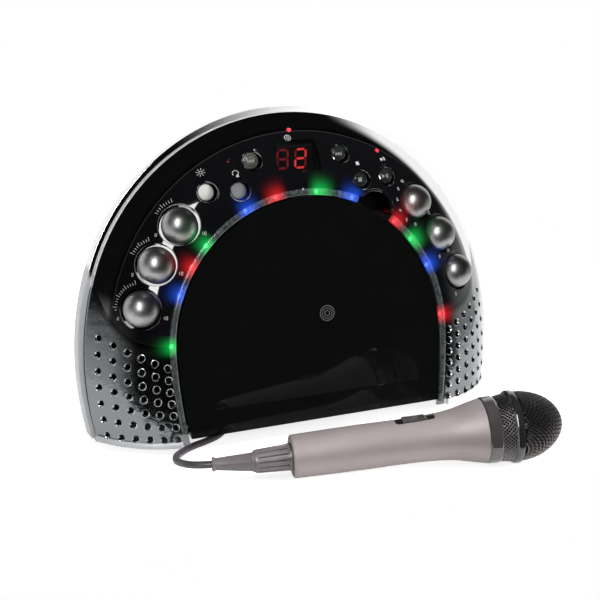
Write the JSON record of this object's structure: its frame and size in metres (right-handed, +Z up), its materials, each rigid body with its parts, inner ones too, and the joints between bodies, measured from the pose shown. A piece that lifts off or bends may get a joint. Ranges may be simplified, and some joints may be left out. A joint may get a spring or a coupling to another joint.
{
  "type": "karaoke machine",
  "caption": "Arch-fronted disc player with a hinged clear door, speaker grilles, tone knobs, push buttons and a loose corded microphone.",
  "frame": {"origin": "middle of the box round the body and microphone, on the surface they stand on", "axes": "+X to the right as the player faces its user, +Y to the rear, +Z up"},
  "size_m": [0.2982, 0.3037, 0.2058],
  "materials": {
    "gloss_black": "gloss",
    "housing_black": "satin",
    "frosted_clear": "gloss",
    "smoked_clear": "gloss",
    "window_red": "gloss",
    "lamp_mixed": "gloss",
    "lamp_red": "gloss",
    "inner_black": "matte",
    "board_green": "satin",
    "steel": "satin",
    "steel_dark": "satin",
    "knob_metal": "polished",
    "button_grey": "satin",
    "button_beige": "satin",
    "button_dark": "gloss",
    "cone_grey": "matte",
    "rubber_black": "matte",
    "cord_grey": "satin",
    "socket_mixed": "gloss",
    "brass": "polished",
    "disc_silver": "polished",
    "lens_glass": "gloss",
    "mic_taupe": "satin",
    "mic_gloss": "gloss",
    "mic_mesh": "satin",
    "foam_black": "matte"
  },
  "bodies": {
    "housing": {"front_fascia": "gloss_black", "light_ring": "frosted_clear", "ring_leds": "lamp_mixed", "display_window": "window_red", "display_module": "inner_black", "status_leds": "lamp_red", "control_board": "board_green", "board_screws": "steel", "tact_switches": "inner_black", "pot_bodies": "steel", "speaker_baskets": "inner_black", "speaker_cones": "cone_grey", "speaker_magnets": "steel_dark", "disc_well": "inner_black", "hinge_pins": "steel", "door_catch": "inner_black", "spindle_motor": "steel", "deck_frame": "inner_black", "sled_rails": "steel", "sled_motor": "steel", "deck_dampers": "rubber_black", "deck_screws": "steel", "rear_housing": "housing_black", "housing_screws": "steel_dark", "feet": "rubber_black", "main_board": "board_green", "mic_jacks": "socket_mixed", "av_jacks": "brass", "power_jack": "socket_mixed", "mic_handle": "mic_taupe", "mic_collar": "mic_gloss", "mic_grille": "mic_mesh", "mic_ring": "mic_gloss", "mic_capsule": "foam_black", "mic_boot": "cord_grey", "mic_cord": "cord_grey", "cord_coil": "cord_grey", "cord_tail": "cord_grey", "cord_plug": "brass"},
    "door": {"disc_door": "smoked_clear"},
    "turntable": {"turntable": "inner_black", "spindle_shaft": "steel", "disc": "disc_silver"},
    "sled": {"laser_sled": "inner_black", "pickup_lens": "lens_glass"},
    "screw": {"sled_screw": "steel"},
    "auto_voice_knob": {"auto_voice_knob": "knob_metal"},
    "echo_knob": {"echo_knob": "knob_metal"},
    "mic_volume_knob": {"mic_volume_knob": "knob_metal"},
    "volume_knob": {"volume_knob": "knob_metal"},
    "balance_knob": {"balance_knob": "knob_metal"},
    "music_tone_knob": {"music_tone_knob": "knob_metal"},
    "light_button": {"light_button": "button_grey"},
    "repeat_button": {"repeat_button": "button_grey"},
    "previous_button": {"previous_button": "button_beige"},
    "next_button": {"next_button": "button_dark"},
    "stop_button": {"stop_button": "button_dark"},
    "play_button": {"play_button": "button_dark"},
    "mic_switch": {"mic_switch": "mic_gloss"}
  },
  "joints": [
    {"name": "door_hinge", "type": "hinge", "parent": "housing", "child": "door", "pos_m": [0, 0.00478, 0.01521], "axis": [1, 0, 0], "range_deg": [0, 55]},
    {"name": "spindle_spin", "type": "hinge", "parent": "housing", "child": "turntable", "pos_m": [0, 0.03776, 0.07493], "axis": [0, -0.9859, 0.1676], "continuous": true},
    {"name": "sled_slide", "type": "slide", "parent": "housing", "child": "sled", "axis": [1, 0, 0], "range_m": [0, 0.033]},
    {"name": "screw_spin", "type": "hinge", "parent": "housing", "child": "screw", "pos_m": [0.02, 0.03496, 0.05309], "axis": [1, 0, 0], "range_deg": [0, 3970]},
    {"name": "auto_voice_turn", "type": "hinge", "parent": "housing", "child": "auto_voice_knob", "pos_m": [-0.0837, 0.02765, 0.14227], "axis": [-0.3433, -0.8119, 0.4722], "range_deg": [-150, 150]},
    {"name": "echo_turn", "type": "hinge", "parent": "housing", "child": "echo_knob", "pos_m": [-0.101, 0.02369, 0.11921], "axis": [-0.42, -0.8241, 0.3802], "range_deg": [-150, 150]},
    {"name": "mic_volume_turn", "type": "hinge", "parent": "housing", "child": "mic_volume_knob", "pos_m": [-0.113, 0.01971, 0.0925], "axis": [-0.4901, -0.8281, 0.2721], "range_deg": [-150, 150]},
    {"name": "volume_turn", "type": "hinge", "parent": "housing", "child": "volume_knob", "pos_m": [0.0837, 0.02765, 0.14227], "axis": [0.3433, -0.8119, 0.4722], "range_deg": [-150, 150]},
    {"name": "balance_turn", "type": "hinge", "parent": "housing", "child": "balance_knob", "pos_m": [0.101, 0.02369, 0.11921], "axis": [0.42, -0.8241, 0.3802], "range_deg": [-150, 150]},
    {"name": "music_tone_turn", "type": "hinge", "parent": "housing", "child": "music_tone_knob", "pos_m": [0.113, 0.01971, 0.0925], "axis": [0.4901, -0.8281, 0.2721], "range_deg": [-150, 150]},
    {"name": "light_press", "type": "slide", "parent": "housing", "child": "light_button", "axis": [0, 0.9859, -0.1676], "range_m": [0, 0.0012], "stiffness_N_per_m": 300, "springref_m": -0.0008},
    {"name": "repeat_press", "type": "slide", "parent": "housing", "child": "repeat_button", "axis": [0, 0.9859, -0.1676], "range_m": [0, 0.0012], "stiffness_N_per_m": 300, "springref_m": -0.0008},
    {"name": "previous_press", "type": "slide", "parent": "housing", "child": "previous_button", "axis": [0, 0.9859, -0.1676], "range_m": [0, 0.0012], "stiffness_N_per_m": 300, "springref_m": -0.0008},
    {"name": "next_press", "type": "slide", "parent": "housing", "child": "next_button", "axis": [0, 0.9859, -0.1676], "range_m": [0, 0.0012], "stiffness_N_per_m": 300, "springref_m": -0.0008},
    {"name": "stop_press", "type": "slide", "parent": "housing", "child": "stop_button", "axis": [0, 0.9859, -0.1676], "range_m": [0, 0.0012], "stiffness_N_per_m": 300, "springref_m": -0.0008},
    {"name": "play_press", "type": "slide", "parent": "housing", "child": "play_button", "axis": [0, 0.9859, -0.1676], "range_m": [0, 0.0012], "stiffness_N_per_m": 300, "springref_m": -0.0008},
    {"name": "mic_switch_slide", "type": "slide", "parent": "housing", "child": "mic_switch", "axis": [0.9702, -0.2311, 0.0722], "range_m": [0, 0.004]}
  ],
  "couplings": [
    {"joint": "screw_spin", "follows": "sled_slide", "rad_per_m": 2094.4}
  ]
}
